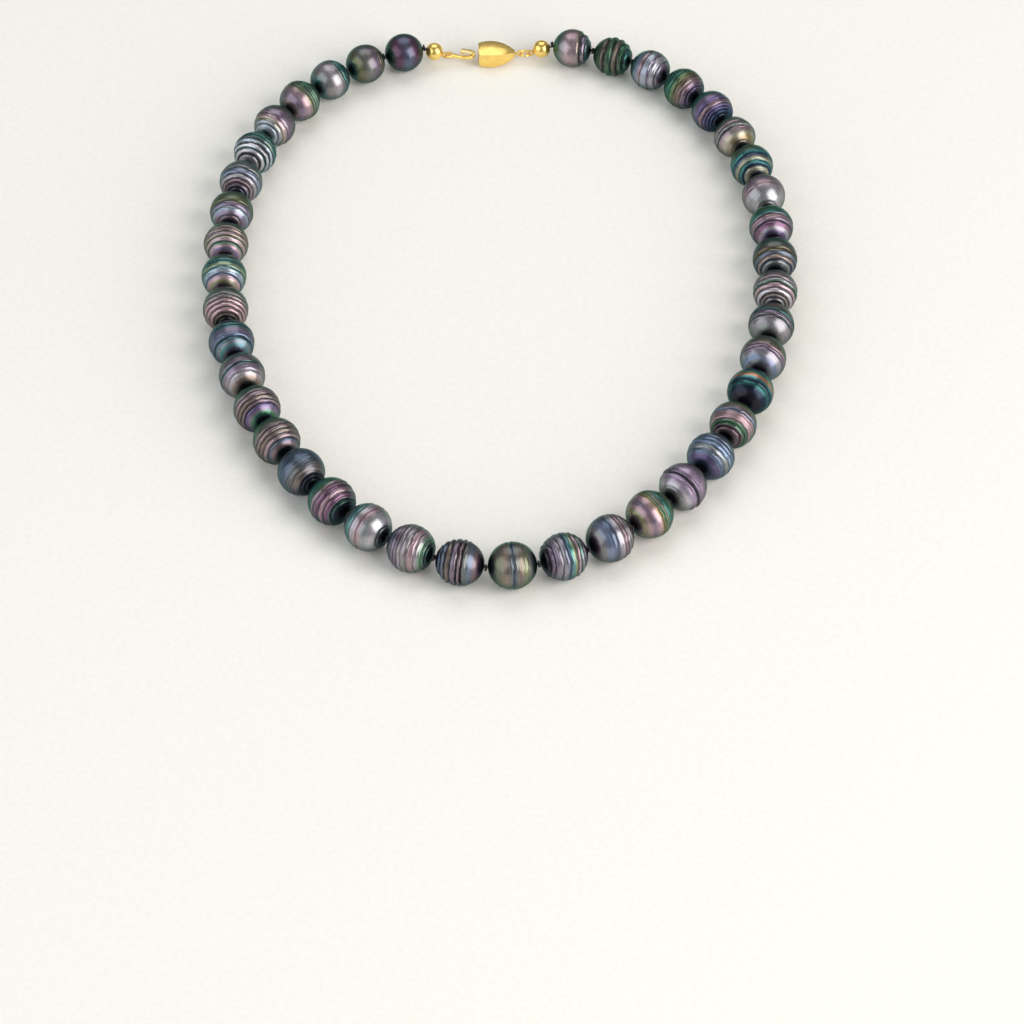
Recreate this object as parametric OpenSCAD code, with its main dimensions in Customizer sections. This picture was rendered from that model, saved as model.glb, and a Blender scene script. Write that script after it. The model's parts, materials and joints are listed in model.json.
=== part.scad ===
// Strand of ringed baroque pearls, knotted on silk, with a fish-hook clasp.
// The necklace lies on a flat surface with its clasp undone, the hook just outside the box.
// Millimetres. +Z is up, +Y runs from the centre pearl towards the clasp, and the origin is
// under the middle of the whole necklace, on the surface that it lies on.

/* [Pearls] */
// Pearls in each arm, between the centre pearl and the clasp
arm_pearls = 20; // [20:1:20]
// Diameter of the centre pearl
centre_d = 10.5; // [9:0.1:12]
// Diameter of the two pearls next to the clasp
end_d = 8.8; // [7:0.1:10]
// Diameter of the hole drilled through a pearl
bore_d = 0.9; // [0.8:0.05:1]
// How deep a growth ring sinks into a pearl
ring_depth = 0.22; // [0.05:0.01:0.4]
// Radius of the tool shape that cuts a growth ring
ring_r = 0.5; // [0.3:0.05:0.8]

/* [Silk] */
// Room that one knot takes between two pearls
knot_gap = 0.6; // [0.5:0.05:1]
// Diameter of the silk
silk_d = 0.6; // [0.4:0.05:0.7]
// Diameter of a knot
knot_d = 1.5; // [1.1:0.1:2]
// Thickness of a knot, pressed between two pearls
knot_t = 0.5; // [0.4:0.05:0.5]
// How far from the next knot's middle a length of silk ends
silk_gap = 0.32; // [0.3:0.01:0.4]

/* [Lie of the strand] */
// Half the width of the loop, between pearl centres
half_width = 59.6; // [59:0.1:61]
// Length of the loop in front of its widest line
front_depth = 91; // [90:0.1:92]
// Length of the loop behind its widest line
back_depth = 77.8; // [77:0.1:79]
// Squareness of the loop in front of its widest line, 2 for an ellipse
front_power = 1.88; // [1.8:0.01:2]
// Squareness of the loop behind its widest line, 2 for an ellipse
back_power = 2.36; // [2.3:0.01:2.5]
// How far the strand has slid round the loop, counter-clockwise
slide_round = 2.8; // [0:0.1:6]

/* [Clasp ends] */
// Diameter of the gold beads
bead_d = 4; // [3.6:0.1:4.2]
// Extra room between the last knot and a gold bead, because the bead slopes
bead_play = 0.22; // [0.2:0.01:0.3]
// Slope of each gold bead, down from the last pearl's hole to the clasp
bead_slope = 24; // [10:1:26]
// Radius of the gimp loop, to the middle of its wire
gimp_loop_r = 0.7; // [0.65:0.01:0.8]
// Diameter of the gimp's coiled wire
gimp_d = 0.5; // [0.4:0.05:0.5]
// Radius of the jump ring, to the middle of its wire
jump_r = 1; // [0.95:0.01:1.1]
// Diameter of the jump ring's wire
jump_wire_d = 0.44; // [0.4:0.01:0.5]

/* [Hook] */
// Thickness of the hook's plate
hook_t = 0.5; // [0.4:0.05:0.55]
// Outer radius of the hook's eye
eye_r = 0.95; // [0.9:0.01:1]
// Radius of the hole in the hook's eye
eye_hole_r = 0.5; // [0.45:0.01:0.55]
// Outer radius of the hook's bow
bow_r = 1.45; // [1.3:0.05:1.5]
// Width of the hook's strip
strip_w = 0.85; // [0.7:0.05:0.9]
// Distance from the middle of the eye to the middle of the bow
bow_x = 4.35; // [4:0.05:4.6]
// Thickness of the spring leaf
leaf_t = 0.22; // [0.15:0.01:0.25]
// Slope of the spring leaf, up from its fold
leaf_slope = 14; // [10:1:16]

/* [Box] */
// Greatest width of the box
box_w = 5; // [4.8:0.1:5.2]
// Thickness of the box, both shells
box_h = 4; // [3.8:0.1:4]
// Length of the whole marquise outline, before its mouth is cut
box_outline = 12; // [11.6:0.1:12.4]
// Distance from the outline's middle to the mouth
mouth_x = 2.5; // [2:0.1:3]
// Thickness of the gold sheet
sheet_t = 0.35; // [0.25:0.05:0.4]
// Diameter of the crossbar that the hook goes over
crossbar_d = 0.6; // [0.5:0.05:0.8]

/* [Hidden] */
$fn = 48;
hair = 0.01;
bead_r = bead_d / 2;
arms = [for (k = [-arm_pearls : arm_pearls]) k];
silk_lengths = 8;

// Growth rings of each pearl from the hook's end to the box's end: where each ring lies along
// the drilled axis, from -1 at the hook's side to 1 at the box's side.
rings = [
    [], [-0.55, -0.35], [-0.45], [-0.65, -0.48, -0.3], [-0.5, 0.35], [-0.5, -0.3, -0.1, 0.6],
    [-0.55, -0.35, -0.15, 0.1, 0.35], [-0.3, 0, 0.3], [-0.55, -0.35, -0.15], [-0.4],
    [-0.5, -0.25, 0, 0.25, 0.5], [-0.35], [-0.2, 0.25], [-0.45, -0.2, 0.05, 0.3],
    [-0.5, -0.25, 0, 0.25], [-0.5, -0.3, -0.1, 0.1, 0.3], [-0.35, -0.1, 0.6], [-0.1, 0.55],
    [-0.55, -0.35, -0.15, 0.05, 0.25, 0.45], [-0.75, -0.58, -0.41, -0.24, -0.07], [0],
    [-0.6, -0.38, -0.15, 0.08, 0.3, 0.52], [0.15, 0.35, 0.55], [-0.4, -0.15, 0.1, 0.35], [0.2],
    [-0.45, -0.15, 0.15, 0.45], [-0.3, 0, 0.3], [0.3], [-0.2, 0.2], [-0.25, 0.15],
    [-0.4, -0.15, 0.1, 0.35], [-0.2, 0.2], [-0.3, 0.1], [0.3], [-0.2, 0.25], [0.1],
    [-0.5, -0.28, -0.05, 0.18, 0.4], [-0.3, 0.1], [-0.15, 0.3], [-0.5, -0.2, 0.1, 0.4], [0.05]];

// A pearl's radius, and the length of silk from one of its knots to the other.
function pearl_r(k) = (centre_d - (centre_d - end_d) * pow(abs(k) / arm_pearls, 2)) / 2;
function link(k) = 2 * pearl_r(k) + knot_gap;

// The line that the knots lie on: half of one superellipse in front, half of another behind.
// The angle t is -90 at the front and grows counter-clockwise.
function signed_power(v, power) = sign(v) * pow(abs(v), power);
function on_loop(t) =
    let (front = sin(t) < 0, power = 2 / (front ? front_power : back_power))
    [half_width * signed_power(cos(t), power),
     (front ? front_depth : back_depth) * signed_power(sin(t), power)];

// The angle whose point lies a straight distance away from the point at t, by halving steps.
function reach(t, way, distance, step = 16) =
    step < 0.00001 ? t
    : norm(on_loop(t + way * step) - on_loop(t)) > distance
        ? nearer(t, t, way, distance, step / 2)
        : nearer(t, t + way * step, way, distance, step / 2);
function nearer(from, t, way, distance, step) =
    step < 0.00001 ? t
    : nearer(from, norm(on_loop(t + way * step) - on_loop(from)) > distance ? t : t + way * step,
             way, distance, step / 2);

// The angles of the knots along one arm, outwards from the centre pearl.
function knots_on(t, way, k) = k > arm_pearls ? [t]
    : concat([t], knots_on(reach(t, way, link(k)), way, k + 1));

box_side_start = reach(-90, 1, link(0) / 2 + slide_round);
hook_side_start = reach(box_side_start, -1, link(0));
box_side = [for (t = knots_on(box_side_start, 1, 1)) on_loop(t)];
hook_side = [for (t = knots_on(hook_side_start, -1, 1)) on_loop(t)];

// Every knot from the hook's end to the box's end, before the loop is centred.
loose_knots = concat([for (i = [arm_pearls : -1 : 0]) hook_side[i]], box_side);
loose_centres = [for (k = arms) (loose_knots[k + arm_pearls] + loose_knots[k + arm_pearls + 1]) / 2];
reach_x = [for (k = arms) loose_centres[k + arm_pearls][0]];
reach_y = [for (k = arms) loose_centres[k + arm_pearls][1]];
function low(v) = min([for (k = arms) v[k + arm_pearls] - pearl_r(k)]);
function high(v) = max([for (k = arms) v[k + arm_pearls] + pearl_r(k)]);
middle = [(low(reach_x) + high(reach_x)) / 2, (low(reach_y) + high(reach_y)) / 2];

// Knots and pearl centres in the necklace's own frame, numbered from the hook's end.
last = 2 * arm_pearls + 1;
knots = [for (i = [0 : last])
    concat(loose_knots[i] - middle, [(pearl_r(max(i - arm_pearls - 1, -arm_pearls))
                                      + pearl_r(min(i - arm_pearls, arm_pearls))) / 2])];
function heading(v) = atan2(v[1], v[0]);
function pearl_at(k) = concat(loose_centres[k + arm_pearls] - middle, [pearl_r(k)]);
function pearl_turn(k) = heading(knots[k + arm_pearls + 1] - knots[k + arm_pearls]);
function first_pearl(s) = round((s - 1) * last / silk_lengths);

// Places along the two clasp ends, from the last knot towards the clasp.
tail_turn = heading(knots[last] - knots[0]);
bead_out = knot_gap / 2 + bead_play + bead_r;
gimp_out = bead_out + bead_r + gimp_loop_r + 0.15;
gimp_x = gimp_out * cos(bead_slope);
tail_drop = gimp_out * sin(bead_slope);
eye_x = gimp_x + (eye_r + eye_hole_r) / 2;
jump_x = gimp_x + jump_r + 0.1;
box_eye_r = 0.65;
box_eye_wire_r = 0.22;
box_eye_x = jump_x + jump_r + 0.05;
box_end_x = 5.6;
box_neck = 0.34;
box_x = box_eye_x + box_eye_r + box_eye_wire_r + box_neck + box_end_x;
box_mouth_x = box_x + mouth_x;

// The hook: the bow's middle, the leg beside the arm and the barb.
bow_y = 0.1;
bow_in = bow_r - strip_w;
leg_x = 2.6;
leaf_w = 1.3;
leaf_fold_x = 5.15;
leaf_fold_r = 0.22;
leaf_fold_z = hook_t / 2 + leaf_fold_r + 0.03;
leaf_l = 2.55;

// The box: outline and dome radii.
outline_r = (box_outline * box_outline / 4 + box_w * box_w / 4) / box_w;
outline_y = outline_r - box_w / 2;
dome_r = 12;
crossbar_x = mouth_x - 0.8;

// Colours
silk_c = "#2e2b30";
gold_c = "#d9b65a";
spring_c = "#e6cc86";
mauve = "#6f5f78";
silver = "#8f878e";
green = "#66746c";
rose = "#866a74";
navy = "#4f5668";
tints = [navy, silver, silver, rose, mauve, green, green, silver, rose, green, rose, mauve, silver,
         mauve, rose, navy, mauve, silver, silver, mauve, green, rose, navy, green, rose, navy,
         rose, navy, mauve, silver, rose, green, green, silver, navy, rose, mauve, green, silver,
         green, rose];

// Ring of round wire about the z axis.
module wire_ring(r, wire_r) {
    rotate_extrude()
        translate([r, 0])
            circle(wire_r);
}

// One pearl, with its growth rings and its drilled hole.
module pearl(k) {
    r = pearl_r(k);
    color(tints[k + arm_pearls])
        translate(pearl_at(k))
            rotate([0, 90, pearl_turn(k)])
                difference() {
                    sphere(r);
                    cylinder(h = 2 * r + 1, d = bore_d, center = true);
                    for (z = rings[k + arm_pearls])
                        translate([0, 0, z * r])
                            wire_ring(sqrt(1 - z * z) * r + ring_r - ring_depth, ring_r);
                }
}

// Runs its children along the clasp end of the hook's side or the box's side.
module tail(hook_end) {
    translate(knots[hook_end ? 0 : last])
        rotate([0, 0, tail_turn + (hook_end ? 0 : 180)])
            children();
}

// A round stretch of silk along x, from one distance to another.
module silk_run(from, to) {
    translate([from, 0, 0])
        rotate([0, 90, 0])
            cylinder(h = to - from, d = silk_d);
}

// One knot, pressed flat between its neighbours, across the x axis.
module knot() {
    rotate([0, 90, 0])
        rotate_extrude()
            union() {
                translate([(knot_d - knot_t) / 2, 0])
                    circle(knot_t / 2);
                translate([0, -knot_t / 2])
                    square([(knot_d - knot_t) / 2, knot_t]);
            }
}

// The silk through one gold bead, from the last knot to the gimp.
module silk_tail(hook_end) {
    tail(hook_end)
        rotate([0, bead_slope, 0])
            silk_run(0, bead_out + bead_r - 0.2);
}

// One length of the silk, which stays with the pearl at its middle: a run through each of its
// pearls and a knot on each one's hook side. It ends just short of the next length's knot, and
// the outer lengths go on through the gold beads.
module silk(s) {
    first = first_pearl(s);
    next = first_pearl(s + 1);
    color(silk_c)
        union() {
            for (i = [first : next - 1])
                translate(pearl_at(i - arm_pearls))
                    rotate([0, 0, pearl_turn(i - arm_pearls)])
                        silk_run(-link(i - arm_pearls) / 2,
                                 link(i - arm_pearls) / 2 - (i == next - 1 && next < last ? silk_gap : 0));
            for (i = [first : next < last ? next - 1 : last])
                translate(knots[i])
                    rotate([0, 0, heading(knots[min(i + 1, last)] - knots[max(i - 1, 0)])])
                        knot();
            if (first == 0) silk_tail(true);
            if (next == last) silk_tail(false);
        }
}

module gold_bead(hook_end) {
    color(gold_c)
        tail(hook_end)
            rotate([0, bead_slope, 0])
                translate([bead_out, 0, 0])
                    rotate([0, 90, 0])
                        difference() {
                            sphere(bead_r);
                            cylinder(h = bead_d + 1, d = bore_d, center = true);
                        }
}

// The loop of gimp that guards the silk, standing upright.
module gimp_loop(hook_end) {
    color(gold_c)
        tail(hook_end)
            translate([gimp_x, 0, -tail_drop])
                rotate([90, 0, 0])
                    wire_ring(gimp_loop_r, gimp_d / 2);
}

// Outline of the hook, with its eye at the origin and its bow towards +x.
module hook_outline() {
    half = strip_w / 2;
    leg_y = bow_y - bow_r;
    difference() {
        union() {
            circle(eye_r);
            polygon([[0, -half], [leg_x, leg_y], [bow_x, leg_y], [bow_x, leg_y + strip_w],
                     [leg_x, leg_y + strip_w], [0.8, half]]);
            intersection() {
                difference() {
                    translate([bow_x, bow_y])
                        circle(bow_r);
                    translate([bow_x, bow_y])
                        circle(bow_in);
                }
                translate([bow_x, bow_y - bow_r])
                    square([bow_r, 2 * bow_r]);
            }
            polygon([[bow_x, bow_y + bow_in], [bow_x, bow_y + bow_r], [3.1, bow_y + bow_r],
                     [2.45, 0.85], [2.7, 0.3], [3.25, bow_y + bow_in]]);
        }
        circle(eye_hole_r);
    }
}

module hook_plate() {
    color(gold_c)
        tail(true)
            translate([eye_x, 0, -tail_drop - hook_t / 2])
                linear_extrude(hook_t)
                    hook_outline();
}

// The springy leaf, folded back over the bow.
module hook_spring_leaf() {
    color(spring_c)
        tail(true)
            translate([eye_x + leaf_fold_x, bow_y, leaf_fold_z - tail_drop])
                rotate([0, leaf_slope, 0])
                    union() {
                        rotate([90, 0, 0])
                            cylinder(h = leaf_w, r = leaf_fold_r, center = true);
                        translate([-leaf_l, -leaf_w / 2, leaf_fold_r - leaf_t])
                            cube([leaf_l, leaf_w, leaf_t]);
                    }
}

module jump_ring() {
    color(gold_c)
        tail(false)
            translate([jump_x, 0, -tail_drop])
                wire_ring(jump_r, jump_wire_d / 2);
}

// Upper half of the marquise box as a solid, smaller all round by inset.
module half_box(inset, from_x, to_x) {
    intersection() {
        linear_extrude(box_h / 2)
            intersection() {
                translate([0, outline_y])
                    circle(outline_r - inset);
                translate([0, -outline_y])
                    circle(outline_r - inset);
                translate([from_x, -box_w])
                    square([to_x - from_x, 2 * box_w]);
            }
        translate([0, 0, box_h / 2 - dome_r])
            sphere(dome_r - inset);
    }
}

// One domed shell of the box, its mouth towards +x and its rim on z = 0.
module box_shell() {
    difference() {
        half_box(0, -box_end_x, mouth_x);
        translate([0, 0, -hair])
            half_box(sheet_t, -box_end_x - 1, mouth_x + 1);
    }
}

// Moves its children to the middle of the box.
module at_box() {
    tail(false)
        translate([box_x, 0, -tail_drop])
            children();
}

module box_top_shell() {
    color(gold_c)
        at_box()
            box_shell();
}

module box_bottom_shell() {
    color(gold_c)
        at_box()
            rotate([180, 0, 0])
                box_shell();
}

// The bar across the mouth, from one side wall to the other.
module box_crossbar() {
    color(gold_c)
        at_box()
            intersection() {
                translate([crossbar_x, 0, 0])
                    rotate([90, 0, 0])
                        cylinder(h = box_w, d = crossbar_d, center = true);
                translate([0, 0, -crossbar_d])
                    linear_extrude(2 * crossbar_d)
                        intersection() {
                            translate([0, outline_y])
                                circle(outline_r - sheet_t);
                            translate([0, -outline_y])
                                circle(outline_r - sheet_t);
                        }
            }
}

// The upright eye on the end of the box, on a short neck.
module box_eye() {
    color(gold_c)
        tail(false)
            translate([box_eye_x, 0, -tail_drop])
                union() {
                    rotate([90, 0, 0])
                        wire_ring(box_eye_r, box_eye_wire_r);
                    translate([box_eye_r, 0, 0])
                        rotate([0, 90, 0])
                            cylinder(h = box_eye_wire_r + box_neck, r = 0.3);
                }
}

for (k = arms)
    pearl(k);
for (s = [1 : silk_lengths])
    silk(s);
gold_bead(true);  // gold_bead_hook_side
gold_bead(false);  // gold_bead_box_side
gimp_loop(true);  // gimp_loop_hook_side
gimp_loop(false);  // gimp_loop_box_side
hook_plate();
hook_spring_leaf();
jump_ring();
box_top_shell();
box_bottom_shell();
box_crossbar();
box_eye();
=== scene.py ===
"""Looks of a knotted strand of dark ringed pearls with a fish-hook clasp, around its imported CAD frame.

Every piece takes its place from the frame's joints and boxes. Each pearl and each knot is grown by a
Geometry Nodes tree with named inputs, and the metal pieces are finished from the CAD solids.
"""
import json
import logging
import math
from dataclasses import dataclass, field, replace
from enum import Enum
from typing import Any, Iterable, Sequence

import bmesh
import bpy
from mathutils import Matrix, Vector


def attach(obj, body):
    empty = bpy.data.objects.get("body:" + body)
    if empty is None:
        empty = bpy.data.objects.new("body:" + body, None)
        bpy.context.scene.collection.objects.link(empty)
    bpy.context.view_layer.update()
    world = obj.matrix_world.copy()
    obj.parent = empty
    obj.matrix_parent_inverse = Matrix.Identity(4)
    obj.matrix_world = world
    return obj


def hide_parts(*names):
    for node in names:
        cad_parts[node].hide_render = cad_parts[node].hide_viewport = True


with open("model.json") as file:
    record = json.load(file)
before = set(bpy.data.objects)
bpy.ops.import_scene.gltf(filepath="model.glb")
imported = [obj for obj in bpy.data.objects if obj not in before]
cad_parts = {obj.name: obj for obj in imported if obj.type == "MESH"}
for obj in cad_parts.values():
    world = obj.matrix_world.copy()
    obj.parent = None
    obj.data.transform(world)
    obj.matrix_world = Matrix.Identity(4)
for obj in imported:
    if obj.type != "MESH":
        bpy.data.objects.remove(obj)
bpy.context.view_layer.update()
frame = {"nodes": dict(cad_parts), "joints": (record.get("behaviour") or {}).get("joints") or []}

LOG = logging.getLogger("necklace")
MM = 0.001
PEARLS = 41
CENTRE_PEARL = 21
Colour = tuple[float, float, float]


class Nacre(Enum):
    """Body colours that a dark pearl's skin passes through, as linear red, green and blue."""

    BLACK = (0.012, 0.012, 0.024)
    NAVY = (0.022, 0.032, 0.075)
    BLUE = (0.130, 0.165, 0.250)
    ICE = (0.380, 0.440, 0.520)
    TEAL = (0.040, 0.150, 0.150)
    GREEN = (0.050, 0.140, 0.080)
    OLIVE = (0.200, 0.210, 0.110)
    CREAM = (0.560, 0.520, 0.380)
    GOLD = (0.430, 0.320, 0.150)
    BRONZE = (0.170, 0.125, 0.105)
    COPPER = (0.520, 0.200, 0.130)
    PLUM = (0.088, 0.040, 0.074)
    VIOLET = (0.120, 0.085, 0.190)
    MAUVE = (0.215, 0.160, 0.232)
    ROSE = (0.375, 0.252, 0.285)
    PEWTER = (0.160, 0.165, 0.165)
    SILVER = (0.460, 0.430, 0.480)


class TreeHand:
    """A hand that adds nodes to one tree, sets their inputs and links them."""

    def __init__(self, tree: bpy.types.NodeTree) -> None:
        """Keeps the tree.

        Args:
            tree: The node tree to build in.
        """
        self.tree = tree

    def add(self, kind: str, inputs: dict[Any, Any] | None = None, **settings: Any) -> bpy.types.Node:
        """Adds one node.

        Args:
            kind: The node's type name.
            inputs: Values or output sockets for its inputs, by name or number.
            **settings: The node's own properties.

        Returns:
            The new node.
        """
        node = self.tree.nodes.new(kind)
        for name, value in settings.items():
            setattr(node, name, value)
        for key, value in (inputs or {}).items():
            self.feed(node.inputs[key], value)
        return node

    def feed(self, socket: bpy.types.NodeSocket, value: Any) -> None:
        """Links an output socket to an input, or sets the input's own value.

        Args:
            socket: The input.
            value: An output socket, or a plain value.
        """
        if isinstance(value, bpy.types.NodeSocket):
            self.tree.links.new(value, socket)
        else:
            socket.default_value = value

    def math(self, operation: str, *values: Any) -> bpy.types.NodeSocket:
        """Adds a Math node and returns its result."""
        node = self.add("ShaderNodeMath", dict(enumerate(values)), operation=operation)
        return node.outputs[0]

    def vector(self, operation: str, *values: Any) -> bpy.types.NodeSocket:
        """Adds a Vector Math node and returns its vector."""
        node = self.add("ShaderNodeVectorMath", dict(enumerate(values)), operation=operation)
        return node.outputs[0]

    def combine(self, x: Any, y: Any, z: Any) -> bpy.types.NodeSocket:
        """Joins three numbers into a vector."""
        return self.add("ShaderNodeCombineXYZ", {0: x, 1: y, 2: z}).outputs[0]

    def scale(self, vector: Any, factor: Any) -> bpy.types.NodeSocket:
        """Scales a vector by a number."""
        return self.add("ShaderNodeVectorMath", {0: vector, "Scale": factor}, operation="SCALE").outputs[0]

    def spread(self, value: Any, low: float, high: float, to_low: Any, to_high: Any) -> bpy.types.NodeSocket:
        """Maps a value's range onto another and returns the result."""
        return self.add("ShaderNodeMapRange", {0: value, 1: low, 2: high, 3: to_low, 4: to_high}).outputs[0]

    def shade(self, colour: Any, light: Any) -> bpy.types.NodeSocket:
        """Multiplies a colour by one number."""
        return self.mix("MULTIPLY", 1.0, colour, self.combine(light, light, light))

    def mix(self, blend: str, share: Any, a: Any, b: Any) -> bpy.types.NodeSocket:
        """Adds a colour Mix node and returns its colour."""
        node = self.add("ShaderNodeMix", {0: share, 6: a, 7: b}, data_type="RGBA", blend_type=blend)
        return node.outputs[2]

    def noise(self, vector: Any, scale: float, detail: float = 2.0, seed: Any = 0.0) -> bpy.types.NodeSocket:
        """Adds a four-dimensional Noise Texture and returns its value."""
        return self.add("ShaderNodeTexNoise", {"Vector": vector, "W": seed, "Scale": scale,
                                               "Detail": detail}, noise_dimensions="4D").outputs[0]

    def tube(self, line: Any, radius: Any, sides: int, closed: bool = False) -> bpy.types.NodeSocket:
        """Gives a line a round section.

        Args:
            line: The line.
            radius: The section's radius.
            sides: How many sides the section has.
            closed: Whether the ends of an open line are closed.

        Returns:
            The tube.
        """
        section = self.add("GeometryNodeCurvePrimitiveCircle", {"Resolution": sides, "Radius": radius},
                           mode="RADIUS")
        return self.add("GeometryNodeCurveToMesh", {"Curve": line, "Profile Curve": section.outputs[0],
                                                    "Fill Caps": closed}).outputs[0]

    def finish_mesh(self, geometry: Any, material: Any) -> None:
        """Smooths a tree's geometry, makes it real, gives it its material and puts it out.

        Args:
            geometry: The geometry so far.
            material: The tree's material input.
        """
        smooth = self.add("GeometryNodeSetShadeSmooth", {"Geometry": geometry})
        real = self.add("GeometryNodeRealizeInstances", {"Geometry": smooth.outputs[0]})
        done = self.add("GeometryNodeSetMaterial", {"Geometry": real.outputs[0], "Material": material})
        self.add("NodeGroupOutput", {0: done.outputs[0]})


def rgba(colour: Colour, gain: float = 1.0) -> tuple[float, float, float, float]:
    """A colour with full alpha, made brighter or darker by gain."""
    return (colour[0] * gain, colour[1] * gain, colour[2] * gain, 1.0)


def new_group(name: str, kind: str, sockets: Sequence[tuple[str, str, str, Any]]) -> bpy.types.NodeTree:
    """Makes a node group with named inputs and outputs.

    Args:
        name: The group's name.
        kind: ShaderNodeTree or GeometryNodeTree.
        sockets: For each socket INPUT or OUTPUT, its name, its type and its usual value or None.

    Returns:
        The group, with no nodes in it.
    """
    tree = bpy.data.node_groups.new(name, kind)
    for way, label, socket_type, value in sockets:
        socket = tree.interface.new_socket(label, in_out=way, socket_type=f"NodeSocket{socket_type}")
        if value is not None:
            socket.default_value = value
    return tree


def new_material(name: str) -> tuple[bpy.types.Material, TreeHand]:
    """Makes an empty material and a hand on its tree.

    Args:
        name: The material's name.

    Returns:
        The material and the hand.
    """
    material = bpy.data.materials.new(name)
    material.use_nodes = True
    material.node_tree.nodes.clear()
    return material, TreeHand(material.node_tree)


def new_object(name: str, data: Any) -> bpy.types.Object:
    """Puts a new object in the scene.

    Args:
        name: The object's name.
        data: Its mesh, light or camera.

    Returns:
        The object, at the origin.
    """
    thing = bpy.data.objects.new(name, data)
    bpy.context.scene.collection.objects.link(thing)
    return thing


def grow(name: str, tree: bpy.types.NodeTree, values: dict[str, Any], place: Matrix) -> bpy.types.Object:
    """Runs a Geometry Nodes tree and keeps its result as a plain mesh in place.

    Args:
        name: The new piece's name.
        tree: The tree, whose first output is geometry.
        values: The tree's inputs, by name.
        place: Where the piece stands.

    Returns:
        A mesh object at the origin with no modifiers.
    """
    holder = new_object("holder", bpy.data.meshes.new("holder"))
    modifier = holder.modifiers.new("tree", "NODES")
    modifier.node_group = tree
    for item in tree.interface.items_tree:
        if item.in_out == "INPUT" and item.name in values:
            modifier[item.identifier] = values[item.name]
    holder.update_tag()
    graph = bpy.context.evaluated_depsgraph_get()
    mesh = bpy.data.meshes.new_from_object(holder.evaluated_get(graph), preserve_all_data_layers=True,
                                           depsgraph=graph)
    bpy.data.objects.remove(holder)
    mesh.transform(place)
    mesh.name = name
    piece = new_object(name, mesh)
    face_outwards(mesh)
    return piece


def middle_and_half(points: Sequence[Vector]) -> tuple[Vector, Vector]:
    """The middle and the half sizes of the box round some points.

    Args:
        points: The points.

    Returns:
        The middle and the half sizes.
    """
    low = Vector([min(point[axis] for point in points) for axis in range(3)])
    high = Vector([max(point[axis] for point in points) for axis in range(3)])
    return (low + high) / 2, (high - low) / 2


def face_outwards(mesh: bpy.types.Mesh) -> None:
    """Turns a closed mesh's faces round if they point inwards.

    Args:
        mesh: The mesh.
    """
    shape = bmesh.new()
    shape.from_mesh(mesh)
    if shape.calc_volume(signed=True) < 0:
        bmesh.ops.reverse_faces(shape, faces=shape.faces)
        shape.to_mesh(mesh)
    shape.free()


def settle(piece: bpy.types.Object, body: str, nodes: Iterable[str]) -> bpy.types.Object:
    """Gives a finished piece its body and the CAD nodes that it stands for.

    Args:
        piece: The piece.
        body: The body that it rides on.
        nodes: The CAD nodes that it replaces.

    Returns:
        The piece.
    """
    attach(piece, body)
    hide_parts(*nodes)
    LOG.info("%s rides on %s: %d faces", piece.name, body, len(piece.data.polygons))
    return piece


# ---------------------------------------------------------------- where everything is

@dataclass(frozen=True)
class Place:
    """Where one pearl lies: its middle, the way its drilled hole runs, and its radius."""

    number: int
    middle: Vector
    axis: Vector
    radius: float

    def matrix(self) -> Matrix:
        """The pearl's own frame, with z along the hole towards the box's end and x up.

        Returns:
            The frame as a matrix.
        """
        z = self.axis
        y = z.cross(Vector((0, 0, 1))).normalized()
        x = y.cross(z)
        turn = Matrix((x, y, z)).transposed().to_4x4()
        return Matrix.Translation(self.middle) @ turn


@dataclass
class StrandPlan:
    """The lie of the strand, worked out from the frame's joints."""

    knot_gap: float = 0.6 * MM
    joints: dict[str, dict[str, Any]] = field(init=False)

    def __post_init__(self) -> None:
        """Reads the joints by name."""
        self.joints = {joint["name"]: joint for joint in frame["joints"]}

    def point(self, joint: str) -> Vector:
        """A joint's point."""
        return Vector(self.joints[joint]["pos_m"])

    def knot_name(self, index: int) -> str:
        """The joint at a knot.

        Args:
            index: The knot's number, from 0 at the hook's end to 41 at the box's.

        Returns:
            The joint's name.
        """
        if index == 0:
            return "pearl_01_bead_bend"
        if index == PEARLS:
            return f"pearl_{PEARLS}_bead_bend"
        pair = f"knot_{index:02d}_{index + 1:02d}_"
        return next(name for name in self.joints if name.startswith(pair))

    def knot(self, index: int) -> Vector:
        """A knot's middle."""
        return self.point(self.knot_name(index))

    def knot_axis(self, index: int) -> Vector:
        """The way the strand runs at a knot, level with the surface."""
        low, high = max(index - 1, 0), min(index + 1, PEARLS)
        return self.level(self.knot(high) - self.knot(low))

    @staticmethod
    def level(vector: Vector) -> Vector:
        """A unit vector without its height."""
        return Vector((vector.x, vector.y, 0)).normalized()

    def pearl(self, number: int) -> Place:
        """Where a pearl lies, between its two knots.

        Args:
            number: The pearl's number from the hook's end.

        Returns:
            The pearl's place.
        """
        low, high = self.knot(number - 1), self.knot(number)
        run = Vector((high.x - low.x, high.y - low.y, 0))
        radius = (run.length - self.knot_gap) / 2
        middle = (low + high) / 2
        middle.z = radius
        return Place(number, middle, run.normalized(), radius)

    def bead(self, side: str) -> Place:
        """Where a gold bead lies, sloping away from its knot.

        Args:
            side: The hook's or the box's side.

        Returns:
            The bead's place.
        """
        corners = [Vector(vertex.co) for vertex in frame["nodes"][f"gold_bead_{side}_side"].data.vertices]
        middle, half = middle_and_half(corners)
        knot = self.knot(0 if side == "hook" else PEARLS)
        return Place(0, middle, (middle - knot).normalized(), half.y)


# ---------------------------------------------------------------- finishes

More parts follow.
